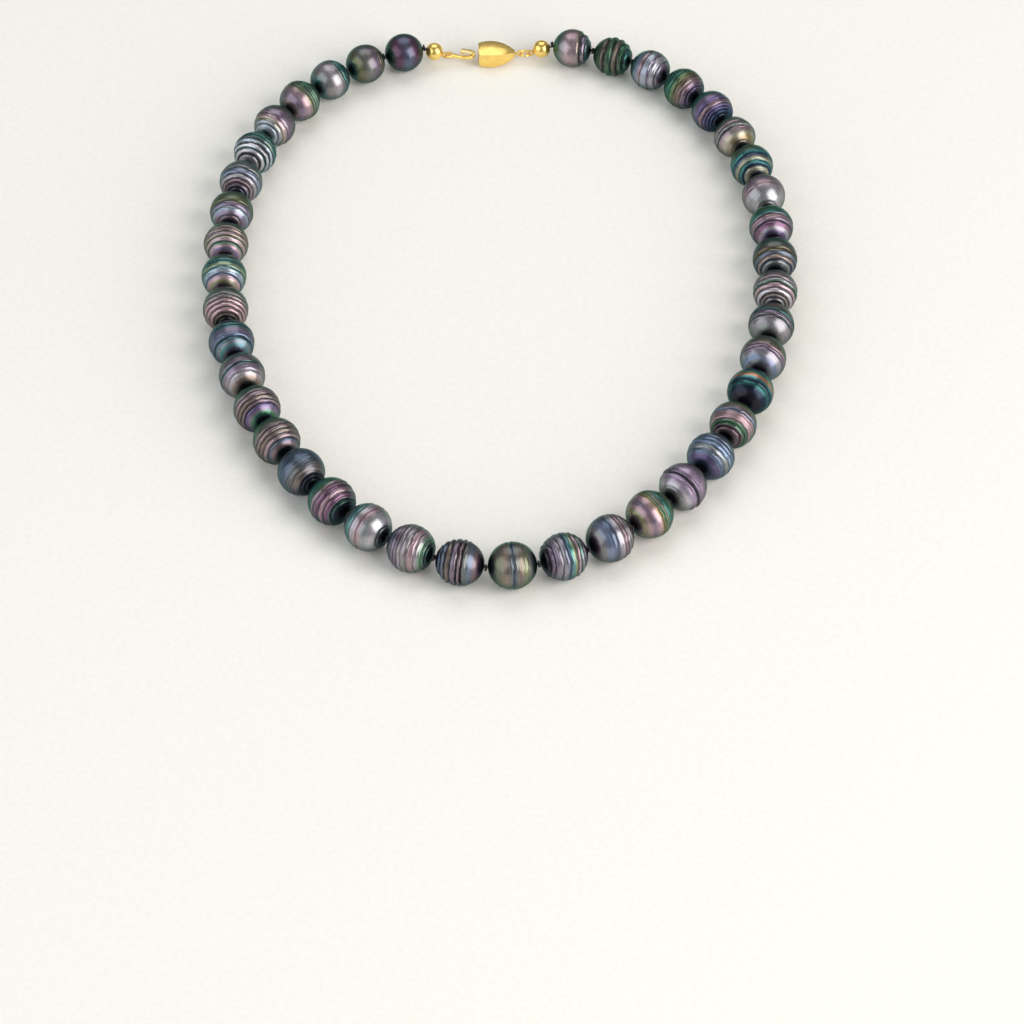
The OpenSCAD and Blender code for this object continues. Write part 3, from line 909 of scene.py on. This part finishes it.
def centre_and_box_arm() -> list[PearlForm]:
    """The forms of pearls 21 to 41, from the centre pearl to the clasp's box.

    Returns:
        The forms, in order.
    """
    f, N = NacreFinish, Nacre
    # Band colours are set from the pearls as seen. Besides the nacre's own bands, some bright bands are
    # partly painted highlight run all round the pearl, and the dark bands at the ends are partly painted
    # shade near the knots.
    return [
        PearlForm("pearl_green", (Ring(-5, 0.028), Ring(25, 0.01)), f(
            bands((-65, N.PEWTER, 0.6), (-40, N.OLIVE, 0.7), (-20, N.BRONZE, 1.5), (-9, N.PEWTER, 0.9),
                  (-4, N.NAVY, 1.5), (2, N.PEWTER, 0.9), (14, N.BRONZE, 1.1), (27, N.OLIVE),
                  (45, N.PEWTER, 0.9), (65, N.GREEN)),
            N.GREEN, N.PEWTER, 0.5, ring=N.NAVY, cap=57), oval=1.0, slim=0.97),
        PearlForm("pearl_rose", rings(-55, -42, -22, -5, 16, 28, 44, depth=0.045), f(
            bands((-60, N.PLUM), (-40, N.MAUVE, 0.9), (-18, N.SILVER, 0.7), (-6, N.BLUE), (3, N.TEAL, 1.5),
                  (11, N.OLIVE, 1.4), (20, N.ROSE, 1.2), (27, N.GREEN, 1.4), (36, N.ICE, 0.6), (52, N.PLUM)),
            N.PEWTER, N.MAUVE, 0.25, cap=60), width=4.5, slim=0.97),
        PearlForm("pearl_navy", (Ring(-11, 0.02), Ring(12, 0.03), Ring(21, 0.04), Ring(32, 0.045)), f(
            bands((-62, N.PLUM, 0.8), (-45, N.PEWTER, 1.3), (-28, N.BLUE, 1.4), (-11, N.BLUE, 0.7),
                  (2, N.SILVER, 0.75), (14, N.ROSE, 0.8), (28, N.SILVER, 0.55), (45, N.BRONZE)),
            N.BRONZE, N.MAUVE, 0.25), width=4.5),
        PearlForm("pearl_green", rings(-4, 3, 10, 17, depth=0.035), f(
            bands((-70, N.MAUVE, 0.8), (-52, N.OLIVE), (-40, N.ROSE), (-28, N.MAUVE), (-14, N.ROSE, 1.15),
                  (-6, N.GOLD, 0.8), (2, N.GREEN, 1.3), (8, N.CREAM, 0.5), (16, N.TEAL, 1.1), (30, N.GREEN),
                  (50, N.OLIVE)),
            N.OLIVE, N.ROSE, 0.2, cap=72), width=2.6),
        PearlForm("pearl_rose", (Ring(-13, 0.09), Ring(-50, 0.01)), f(
            bands((-75, N.PLUM, 0.8), (-58, N.PEWTER, 1.2), (-42, N.SILVER), (-25, N.MAUVE, 1.6),
                  (-12, N.MAUVE, 0.7), (5, N.MAUVE, 1.9), (25, N.MAUVE), (45, N.BRONZE)),
            N.BRONZE, N.MAUVE), width=5.2),
        PearlForm("pearl_navy", rings(-28, -13, 0, 14, depth=0.035), f(
            bands((-70, N.NAVY), (-50, N.VIOLET, 0.9), (-35, N.BLUE, 0.9), (-22, N.PEWTER, 1.6),
                  (-8, N.BLUE, 1.5), (8, N.BLUE), (28, N.PEWTER, 0.8)),
            N.BLUE, N.BLUE, fineness=40.0, line_strength=0.85, roughness=0.28), width=3.8),
        PearlForm("pearl_rose", rings(-56, -45, -34, -8, depth=0.04), f(
            bands((-74, N.PLUM, 0.5), (-62, N.ROSE, 0.8), (-53, N.PLUM, 1.5), (-46, N.GREEN, 1.3),
                  (-39, N.GREEN), (-32, N.ROSE), (-18, N.ROSE, 0.85), (-8, N.BLUE), (4, N.ROSE, 0.7),
                  (18, N.OLIVE), (36, N.PLUM)),
            N.GREEN, N.BRONZE, 0.2), width=3.4, tilt=0.08),
        PearlForm("pearl_navy", (Ring(-22, 0.015),), f(
            bands((-60, N.PLUM, 0.3), (-38, N.NAVY, 0.55), (-26, N.TEAL, 0.8), (-17, N.NAVY, 0.6),
                  (-9, N.TEAL, 1.9), (-3, N.COPPER, 1.3), (5, N.OLIVE, 1.8), (13, N.TEAL, 1.6), (26, N.NAVY)),
            N.NAVY, N.BLACK, 0.3, roughness=0.24, cap=66, line_strength=0.1)),
        PearlForm("pearl_mauve", rings(-19, -10, depth=0.025), f(
            bands((-74, N.VIOLET, 0.5), (-62, N.PEWTER, 0.8), (-48, N.BLUE, 1.2), (-32, N.SILVER, 0.65),
                  (-18, N.MAUVE, 0.9), (-8, N.ROSE, 0.8), (4, N.OLIVE, 0.6), (22, N.BRONZE)),
            N.GREEN, N.MAUVE), width=3.8),
        PearlForm("pearl_silver", rings(-19, -2, depth=0.045), f(
            bands((-72, N.BRONZE, 0.6), (-52, N.PEWTER, 1.2), (-34, N.SILVER, 0.6), (-20, N.PEWTER, 0.8),
                  (-10, N.MAUVE, 0.7), (0, N.TEAL, 0.6), (20, N.BRONZE)),
            N.BRONZE, N.MAUVE, 0.2, cap=66), width=3.8),
        PearlForm("pearl_rose", rings(-60, -48, -32, -16, 0, depth=0.055), f(
            bands((-74, N.BRONZE, 0.7), (-61, N.SILVER, 0.9), (-50, N.BRONZE, 1.2), (-40, N.SILVER, 1.2),
                  (-26, N.ROSE, 1.1), (-16, N.GREEN, 0.9), (-6, N.SILVER, 0.8), (10, N.ROSE, 0.7)),
            N.GREEN, N.MAUVE, 0.2, cap=70), width=4.4, slim=0.96),
        PearlForm("pearl_green", rings(-47, -32, -14, depth=0.035), f(
            bands((-68, N.BLACK, 1.5), (-54, N.PEWTER, 1.5), (-46, N.NAVY, 1.3), (-38, N.BRONZE, 2.2),
                  (-27, N.BLUE, 0.7), (-18, N.GOLD, 0.35), (-2, N.PEWTER, 0.7), (20, N.GREEN, 0.7)),
            N.NAVY, N.PEWTER, 0.4, cap=64), width=5.2),
        PearlForm("pearl_green", rings(-30, -8, depth=0.045), f(
            bands((-72, N.PLUM), (-60, N.VIOLET, 1.2), (-50, N.SILVER, 0.7), (-40, N.PLUM, 2.0),
                  (-28, N.MAUVE, 0.9), (-20, N.ROSE, 0.9), (-10, N.ROSE, 0.7), (-2, N.TEAL, 1.1),
                  (16, N.GREEN, 1.2)),
            N.GREEN, N.PLUM, 0.2, cap=70)),
        PearlForm("pearl_silver", rings(-14, -66, depth=0.015), f(
            bands((-74, N.PEWTER, 0.8), (-60, N.SILVER, 0.8), (-44, N.PEWTER, 1.7), (-28, N.SILVER, 0.7),
                  (-12, N.ROSE, 0.8), (4, N.MAUVE, 0.9), (24, N.BRONZE)),
            N.BRONZE, N.SILVER, cap=78, rim_share=0.65)),
        PearlForm("pearl_navy", rings(-50, -36, -12, depth=0.035), f(
            bands((-72, N.NAVY), (-58, N.CREAM, 0.6), (-48, N.NAVY, 1.2), (-40, N.TEAL, 1.3),
                  (-30, N.CREAM, 0.55), (-18, N.NAVY, 1.6), (-6, N.TEAL, 1.3), (8, N.OLIVE, 0.7),
                  (24, N.NAVY)),
            N.TEAL, N.TEAL, 0.15, cap=72), width=4.5),
        PearlForm("pearl_rose", (Ring(-13, 0.075), Ring(2, 0.03), Ring(-60, 0.012)), f(
            bands((-72, N.BRONZE), (-52, N.GOLD, 0.55), (-36, N.CREAM, 0.7), (-22, N.ROSE, 0.7),
                  (-8, N.PEWTER), (6, N.ROSE, 0.7), (24, N.GREEN, 0.8)),
            N.GREEN, N.SILVER), width=4.5, slim=0.96),
        PearlForm("pearl_mauve", rings(-58, -48, -38, -28, -12, depth=0.04), f(
            bands((-70, N.NAVY), (-52, N.NAVY, 1.7), (-34, N.VIOLET, 1.3), (-22, N.ROSE, 0.7),
                  (-6, N.VIOLET, 1.4), (8, N.MAUVE), (24, N.TEAL, 1.1), (40, N.GREEN)),
            N.TEAL, N.NAVY, 0.2), width=3.8),
        PearlForm("pearl_green", rings(-50, -30, -8, 10, depth=0.035), f(
            bands((-68, N.NAVY), (-48, N.VIOLET, 0.9), (-32, N.ROSE, 0.7), (-20, N.BRONZE, 0.8),
                  (-8, N.OLIVE, 0.8), (6, N.GREEN, 1.1), (24, N.TEAL, 0.9), (40, N.GREEN, 0.8)),
            N.GREEN, N.BRONZE, 0.2), width=3.8),
        PearlForm("pearl_silver", rings(-42, -20, 6, depth=0.03), f(
            bands((-66, N.PLUM), (-48, N.MAUVE, 0.9), (-32, N.SILVER, 0.8), (-18, N.MAUVE),
                  (-6, N.ICE, 0.8), (8, N.ROSE, 0.8), (24, N.BLUE, 1.5), (42, N.TEAL, 1.3)),
            N.GREEN, N.ICE, 0.4), width=4.5),
        PearlForm("pearl_green", rings(-50, -30, -10, 12, depth=0.075), f(
            bands((-62, N.TEAL, 1.2), (-40, N.GREEN, 0.8), (-22, N.BRONZE, 0.9), (-4, N.GREEN, 0.8),
                  (14, N.BRONZE, 0.7), (36, N.GREEN, 0.7)),
            N.GREEN, N.BRONZE, 0.2), width=6.8, slim=0.96),
        PearlForm("pearl_rose", (Ring(-34, 0.07), Ring(-52, 0.03)), f(
            bands((-60, N.TEAL), (-44, N.MAUVE, 0.9), (-26, N.BRONZE, 1.1), (-10, N.ROSE, 0.8), (8, N.ROSE),
                  (26, N.PEWTER, 1.2), (44, N.GREEN)),
            N.GREEN, N.SILVER), width=7.5),
    ]


@dataclass
class Pearls:
    """All the pearls of the strand."""

    plan: StrandPlan
    groups: SharedGroups
    hole_radius: float = 0.45 * MM

    def build(self) -> None:
        """Grows each pearl from its form."""
        tree = PearlTree()
        for number, form in enumerate(hook_arm() + centre_and_box_arm(), start=1):
            self.build_one(number, form, tree)

    def build_one(self, number: int, form: PearlForm, tree: PearlTree) -> None:
        """Grows one pearl and settles it on its body.

        Args:
            number: The pearl's number from the hook's end.
            form: Its shape and skin.
            tree: The tree that grows it.
        """
        name = f"pearl_{number:02d}"
        place = self.plan.pearl(number)
        skin = replace(form.finish, seed=float(number)).build(f"nacre_{number:02d}", self.groups)
        values = {"Radius": place.radius, "Hole radius": self.hole_radius, "Oval": form.oval,
                  "Slim": form.slim, "Tilt": form.tilt, "Waver": form.waver,
                  "Ring width": form.width / 90, "Seed": float(number), "Skin": skin}
        for index, ring in enumerate(form.rings, start=1):
            values[f"Ring {index} place"] = ring.latitude / 90
            values[f"Ring {index} depth"] = ring.depth
        piece = grow(f"nacre_pearl_{number:02d}", tree.tree, values, place.matrix())
        settle(piece, name, [name])


# ---------------------------------------------------------------- silk

class KnotTree:
    """The Geometry Nodes tree that winds one tight knot of silk."""

    points = 84
    sides = 8

    def __init__(self) -> None:
        """Builds the tree: a line is wound into a flattened trefoil and given thickness."""
        self.tree = new_group("silk knot", "GeometryNodeTree", [
            ("OUTPUT", "Geometry", "Geometry", None), ("INPUT", "Width", "Float", 0.0018),
            ("INPUT", "Thickness", "Float", 0.0007), ("INPUT", "Thread radius", "Float", 0.0002),
            ("INPUT", "Silk", "Material", None)])
        hand = TreeHand(self.tree)
        given = hand.add("NodeGroupInput").outputs
        line = hand.add("GeometryNodeCurvePrimitiveCircle", {"Resolution": self.points}, mode="RADIUS")
        index = hand.add("GeometryNodeInputIndex").outputs[0]
        turn = hand.math("MULTIPLY", index, math.tau / self.points)
        double, triple = hand.math("MULTIPLY", turn, 2.0), hand.math("MULTIPLY", turn, 3.0)
        x = hand.math("ADD", hand.math("SINE", turn), hand.math("MULTIPLY", hand.math("SINE", double), 2.0))
        y = hand.math("SUBTRACT", hand.math("COSINE", turn),
                      hand.math("MULTIPLY", hand.math("COSINE", double), 2.0))
        z = hand.math("SINE", triple)
        across = hand.math("DIVIDE", hand.math("SUBTRACT", hand.math("DIVIDE", given["Width"], 2.0),
                                               given["Thread radius"]), 3.0)
        deep = hand.math("SUBTRACT", hand.math("DIVIDE", given["Thickness"], 2.0), given["Thread radius"])
        where = hand.combine(hand.math("MULTIPLY", x, across), hand.math("MULTIPLY", y, across),
                             hand.math("MULTIPLY", z, deep))
        wound = hand.add("GeometryNodeSetPosition", {"Geometry": line.outputs[0], "Position": where})
        hand.finish_mesh(hand.tube(wound.outputs[0], given["Thread radius"], self.sides), given["Silk"])


class CordTree:
    """The Geometry Nodes tree that twists a straight run of two-ply silk."""

    steps = 56
    sides = 6

    def __init__(self) -> None:
        """Builds the tree: two plies wind round each other along z."""
        self.tree = new_group("silk run", "GeometryNodeTree", [
            ("OUTPUT", "Geometry", "Geometry", None), ("INPUT", "Start", "Float", -0.005),
            ("INPUT", "End", "Float", 0.005), ("INPUT", "Ply radius", "Float", 0.00013),
            ("INPUT", "Twist", "Float", 4000.0), ("INPUT", "Silk", "Material", None)])
        hand = TreeHand(self.tree)
        given = hand.add("NodeGroupInput").outputs
        joined = hand.add("GeometryNodeJoinGeometry")
        for phase in (0.0, math.pi):
            self.tree.links.new(self.ply(hand, given, phase), joined.inputs[0])
        hand.finish_mesh(joined.outputs[0], given["Silk"])

    def ply(self, hand: TreeHand, given: Any, phase: float) -> bpy.types.NodeSocket:
        """One ply, closed at both ends.

        Args:
            hand: The hand on the tree.
            given: The tree's inputs.
            phase: Where round the run the ply starts.

        Returns:
            The ply's geometry.
        """
        line = hand.add("GeometryNodeCurvePrimitiveLine")
        fine = hand.add("GeometryNodeResampleCurve", {"Curve": line.outputs[0], "Count": self.steps})
        share = hand.add("GeometryNodeSplineParameter").outputs["Factor"]
        length = hand.math("SUBTRACT", given["End"], given["Start"])
        height = hand.math("ADD", given["Start"], hand.math("MULTIPLY", share, length))
        turn = hand.math("ADD", hand.math("MULTIPLY", height, given["Twist"]), phase)
        where = hand.combine(hand.math("MULTIPLY", hand.math("COSINE", turn), given["Ply radius"]),
                             hand.math("MULTIPLY", hand.math("SINE", turn), given["Ply radius"]), height)
        wound = hand.add("GeometryNodeSetPosition", {"Geometry": fine.outputs[0], "Position": where})
        return hand.tube(wound.outputs[0], given["Ply radius"], self.sides, closed=True)


@dataclass
class Silk:
    """The knots and the runs of silk through the pearls and the beads."""

    plan: StrandPlan
    lengths: int = 8
    knot_width: float = 1.66 * MM
    knot_thickness: float = 0.62 * MM
    thread_radius: float = 0.2 * MM
    ply_radius: float = 0.13 * MM
    knot_roll: float = 2.4

    def build(self) -> None:
        """Winds each knot, settles it on the body outside it, and runs the silk through every hole."""
        tree = KnotTree().tree
        material = SilkFinish().build("silk")
        for index in range(PEARLS + 1):
            piece = self.knot(index, tree, material)
            settle(piece, self.outer_body(index), [self.length_at(index)])
        cord = CordTree().tree
        for number in range(1, PEARLS + 1):
            place = self.plan.pearl(number)
            piece = self.run(f"silk_run_{number:02d}", cord, place.matrix(), place.radius, material)
            settle(piece, f"pearl_{number:02d}", [self.length_at(number - 1)])
        for side, index in (("hook", 0), ("box", PEARLS)):
            bead = self.plan.bead(side)
            piece = self.run(f"silk_run_{side}_bead", cord, bead.matrix(), bead.radius, material)
            settle(piece, f"bead_{side}_side", [self.length_at(index)])

    def run(self, name: str, tree: bpy.types.NodeTree, place: Matrix, reach: float,
            material: bpy.types.Material) -> bpy.types.Object:
        """Runs two-ply silk through one drilled ball.

        Args:
            name: The piece's name.
            tree: The cord's tree.
            place: The ball's own frame, with z along its hole.
            reach: How far the silk goes each way from the ball's middle.
            material: The silk.

        Returns:
            The run of silk.
        """
        values = {"Start": -reach, "End": reach, "Ply radius": self.ply_radius, "Silk": material}
        return grow(name, tree, values, place)

    def length_at(self, index: int) -> str:
        """The CAD length of silk that a knot belongs to.

        Args:
            index: The knot's number.

        Returns:
            The length's node name.
        """
        ends = [math.floor((number + 1) * PEARLS / self.lengths + 0.5) for number in range(self.lengths)]
        number = next((at for at, end in enumerate(ends, start=1) if index < end), self.lengths)
        return f"silk_{number}"

    @staticmethod
    def outer_body(index: int) -> str:
        """The body that turns about a knot.

        Args:
            index: The knot's number.

        Returns:
            The body's name.
        """
        if index == 0:
            return "bead_hook_side"
        if index == PEARLS:
            return "bead_box_side"
        return f"pearl_{index if index < CENTRE_PEARL else index + 1:02d}"

    def knot(self, index: int, tree: bpy.types.NodeTree, material: bpy.types.Material) -> bpy.types.Object:
        """Winds one knot, a little turned from the last one so that no two look alike.

        Args:
            index: The knot's number.
            tree: The knot's tree.
            material: The silk.

        Returns:
            The knot.
        """
        z = self.plan.knot_axis(index)
        x = Vector((0, 0, 1))
        frame_here = Matrix((x, z.cross(x), z)).transposed().to_4x4()
        roll = Matrix.Rotation(index * self.knot_roll, 4, "Z")
        place = Matrix.Translation(self.plan.knot(index)) @ frame_here @ roll
        values = {"Width": self.knot_width, "Thickness": self.knot_thickness,
                  "Thread radius": self.thread_radius, "Silk": material}
        return grow(f"silk_knot_{index:02d}", tree, values, place)


# ---------------------------------------------------------------- clasp

class GimpTree:
    """The Geometry Nodes tree that coils fine wire into a closed loop of gimp."""

    turns = 34
    steps = 14
    sides = 6

    def __init__(self) -> None:
        """Builds the tree: a closed line winds round a ring and is given thickness."""
        self.tree = new_group("gimp coil", "GeometryNodeTree", [
            ("OUTPUT", "Geometry", "Geometry", None), ("INPUT", "Loop radius", "Float", 0.0007),
            ("INPUT", "Coil radius", "Float", 0.00019), ("INPUT", "Wire radius", "Float", 0.00006),
            ("INPUT", "Gold", "Material", None)])
        hand = TreeHand(self.tree)
        given = hand.add("NodeGroupInput").outputs
        points = self.turns * self.steps
        line = hand.add("GeometryNodeCurvePrimitiveCircle", {"Resolution": points}, mode="RADIUS")
        index = hand.add("GeometryNodeInputIndex").outputs[0]
        major = hand.math("MULTIPLY", index, math.tau / points)
        minor = hand.math("MULTIPLY", index, math.tau / self.steps)
        out = hand.math("MULTIPLY_ADD", hand.math("COSINE", minor), given["Coil radius"],
                        given["Loop radius"])
        where = hand.combine(hand.math("MULTIPLY", out, hand.math("COSINE", major)),
                             hand.math("MULTIPLY", out, hand.math("SINE", major)),
                             hand.math("MULTIPLY", hand.math("SINE", minor), given["Coil radius"]))
        wound = hand.add("GeometryNodeSetPosition", {"Geometry": line.outputs[0], "Position": where})
        hand.finish_mesh(hand.tube(wound.outputs[0], given["Wire radius"], self.sides), given["Gold"])


@dataclass
class Clasp:
    """The gold beads, gimp, rings, hook and box, finished from the CAD solids."""

    plan: StrandPlan
    groups: SharedGroups
    hole_radius: float = 0.45 * MM
    gimp_wire_radius: float = 0.06 * MM
    bevel: float = 0.06 * MM
    bevel_steps: int = 3
    smooth_angle: float = math.radians(32)
    flat_angle: float = math.radians(0.5)
    weld: float = 0.001 * MM
    collar_place: float = 0.8
    collar_depth: float = 0.02
    collar_width: float = 0.05

    def build(self) -> None:
        """Finishes each metal piece."""
        polished = GoldFinish().build("polished_gold", self.groups)
        sprung = GoldFinish((1.0, 0.78, 0.34), 0.24, 0.12).build("spring_gold", self.groups)
        coiled = GoldFinish((0.98, 0.70, 0.24), 0.24, 0.1).build("coiled_gold", self.groups)
        ball, coil = PearlTree(), GimpTree()
        for side in ("hook", "box"):
            bead = self.bead(side, ball, polished)
            settle(bead, f"bead_{side}_side", [f"gold_bead_{side}_side"])
            gimp = self.gimp(side, coil, coiled)
            settle(gimp, f"gimp_{side}_side", [f"gimp_loop_{side}_side"])
        pieces = [("hook_plate", "hook", polished, "gold"),
                  ("hook_spring_leaf", "spring_leaf", sprung, "spring_gold"),
                  ("jump_ring", "jump_ring", polished, "gold"),
                  ("box_top_shell", "box", polished, "gold"),
                  ("box_bottom_shell", "box", polished, "gold"),
                  ("box_crossbar", "box", polished, "gold"),
                  ("box_eye", "box", polished, "gold")]
        for node, body, material, slot in pieces:
            piece = self.finished_copy(node, material)
            settle(piece, body, [node])

    def bead(self, side: str, tree: PearlTree, material: bpy.types.Material) -> bpy.types.Object:
        """Grows one drilled gold bead with a fine collar line round each end of its hole.

        Args:
            side: The hook's or the box's side.
            tree: The tree that grows drilled balls.
            material: The gold.

        Returns:
            The bead.
        """
        place = self.plan.bead(side)
        values = {"Radius": place.radius, "Hole radius": self.hole_radius, "Oval": 1.0, "Slim": 1.0,
                  "Tilt": 0.0, "Waver": 0.0, "Ring width": self.collar_width, "Seed": 1.0, "Skin": material,
                  "Ring 1 place": -self.collar_place, "Ring 1 depth": self.collar_depth,
                  "Ring 2 place": self.collar_place, "Ring 2 depth": self.collar_depth}
        return grow(f"bored_bead_{side}_side", tree.tree, values, place.matrix())

    def gimp(self, side: str, tree: GimpTree, material: bpy.types.Material) -> bpy.types.Object:
        """Coils one loop of gimp where the CAD loop stands.

        Args:
            side: The hook's or the box's side.
            tree: The tree that coils gimp.
            material: The gold of its wire.

        Returns:
            The gimp.
        """
        points = [Vector(vertex.co) for vertex in frame["nodes"][f"gimp_loop_{side}_side"].data.vertices]
        middle, half = middle_and_half(points)
        outer = half.z
        way = self.plan.level(middle - self.plan.knot(0 if side == "hook" else PEARLS))
        z = way.cross(Vector((0, 0, 1)))
        across = max(abs((point - middle).dot(z)) for point in points)
        turn = Matrix((way, z.cross(way), z)).transposed().to_4x4()
        values = {"Loop radius": outer - across, "Coil radius": across - self.gimp_wire_radius,
                  "Wire radius": self.gimp_wire_radius, "Gold": material}
        return grow(f"coiled_gimp_{side}_side", tree.tree, values, Matrix.Translation(middle) @ turn)

    def finished_copy(self, node: str, material: bpy.types.Material) -> bpy.types.Object:
        """Copies a CAD solid, merges it and rounds its edges.

        Args:
            node: The CAD node's name.
            material: The finish of the copy.

        Returns:
            The finished piece.
        """
        mesh = frame["nodes"][node].data.copy()
        shape = bmesh.new()
        shape.from_mesh(mesh)
        bmesh.ops.remove_doubles(shape, verts=shape.verts, dist=self.weld)
        bmesh.ops.dissolve_limit(shape, angle_limit=self.flat_angle, verts=shape.verts, edges=shape.edges)
        shape.to_mesh(mesh)
        shape.free()
        mesh.materials.clear()
        mesh.materials.append(material)
        piece = new_object(f"fine_{node}", mesh)
        bevel = piece.modifiers.new("edges", "BEVEL")
        bevel.width = self.bevel
        bevel.segments = self.bevel_steps
        bevel.limit_method = "ANGLE"
        bevel.angle_limit = self.smooth_angle
        graph = bpy.context.evaluated_depsgraph_get()
        result = bpy.data.meshes.new_from_object(piece.evaluated_get(graph), depsgraph=graph)
        piece.modifiers.clear()
        piece.data = result
        result.shade_smooth()
        result.set_sharp_from_angle(angle=self.smooth_angle)
        return piece


# ---------------------------------------------------------------- stage

@dataclass
class Stage:
    """The pale floor, the lights and the camera."""

    aim: Vector = field(default_factory=lambda: Vector((2.64, -61.3, 0.0)) * MM)
    elevation: float = 43.86
    distance: float = 1.54
    lens: float = 258.4
    floor_size: float = 6.0
    floor_colour: Colour = (0.93, 0.91, 0.855)
    world_colour: Colour = (0.96, 0.98, 1.0)
    world_strength: float = 0.25

    def build(self) -> None:
        """Sets the floor, the lights, the world and the camera."""
        self.floor()
        self.lights()
        self.camera()

    def toward_camera(self) -> Vector:
        """The direction from the aim to the camera."""
        rise = math.radians(self.elevation)
        return Vector((0, -math.cos(rise), math.sin(rise)))

    def camera(self) -> None:
        """Places the camera at the viewing angle."""
        data = bpy.data.cameras.new("camera")
        data.lens = self.lens
        data.sensor_width = 36.0
        data.clip_start, data.clip_end = 0.05, 50.0
        camera = new_object("camera", data)
        back = self.toward_camera()
        camera.location = self.aim + back * self.distance
        camera.rotation_euler = back.to_track_quat("Z", "Y").to_euler()
        bpy.context.scene.camera = camera

    def floor(self) -> None:
        """Lays the plain pale floor."""
        half = self.floor_size / 2
        mesh = bpy.data.meshes.new("floor")
        mesh.from_pydata([(-half, -half, 0), (half, -half, 0), (half, half, 0), (-half, half, 0)], [],
                         [(0, 1, 2, 3)])
        floor = new_object("floor", mesh)
        material, hand = new_material("pale_cloth")
        place = hand.add("ShaderNodeTexCoord").outputs["Object"]
        grain = hand.noise(place, 900.0, 3.0, 2.0)
        colour = hand.shade(rgba(self.floor_colour), hand.spread(grain, 0.3, 0.7, 0.97, 1.02))
        bump = hand.add("ShaderNodeBump", {"Height": grain, "Strength": 0.15, "Distance": 0.2 * MM})
        shader = hand.add("ShaderNodeBsdfPrincipled", {"Base Color": colour, "Roughness": 0.85,
                                                       "Normal": bump.outputs[0], "Specular IOR Level": 0.2})
        hand.add("ShaderNodeOutputMaterial", {"Surface": shader.outputs[0]})
        mesh.materials.append(material)

    def lights(self) -> None:
        """Hangs the soft lights and sets a dim even world."""
        self.area("window", Vector((0.734, -0.49, 0.471)), 1.5, (1.2, 1.6), 25.0, (1.0, 0.98, 0.95))
        self.area("fill", Vector((-0.80, -0.42, 0.48)), 1.8, (2.1, 1.8), 17.0, (0.93, 0.97, 1.0))
        self.area("overhead", Vector((0.0, 0.6, 1.0)), 2.0, (1.85, 1.54), 12.0, (1.0, 1.0, 1.0))
        world = bpy.data.worlds.new("studio")
        world.use_nodes = True
        sky = world.node_tree.nodes["Background"].inputs
        sky["Color"].default_value = rgba(self.world_colour)
        sky["Strength"].default_value = self.world_strength
        bpy.context.scene.world = world
        bpy.context.scene.view_settings.view_transform = "Standard"

    def area(self, name: str, way: Vector, distance: float, size: tuple[float, float], power: float,
             colour: Colour) -> None:
        """Hangs one soft rectangular light that faces the necklace.

        Args:
            name: The light's name.
            way: Its direction from the necklace.
            distance: How far it hangs, in metres.
            size: Its sides, in metres.
            power: Its power, in watts.
            colour: Its colour.
        """
        data = bpy.data.lights.new(name, "AREA")
        data.shape = "RECTANGLE"
        data.size, data.size_y = size
        data.energy = power
        data.color = colour
        light = new_object(name, data)
        light.location = way.normalized() * distance
        light.rotation_euler = way.to_track_quat("Z", "Y").to_euler()


def main() -> None:
    """Builds every sub-assembly in order."""
    logging.basicConfig(level=logging.INFO, format="%(name)s: %(message)s")
    Stage().build()
    plan = StrandPlan()
    groups = SharedGroups()
    Pearls(plan, groups).build()
    Silk(plan).build()
    Clasp(plan, groups).build()


if __name__ == "__main__":
    main()
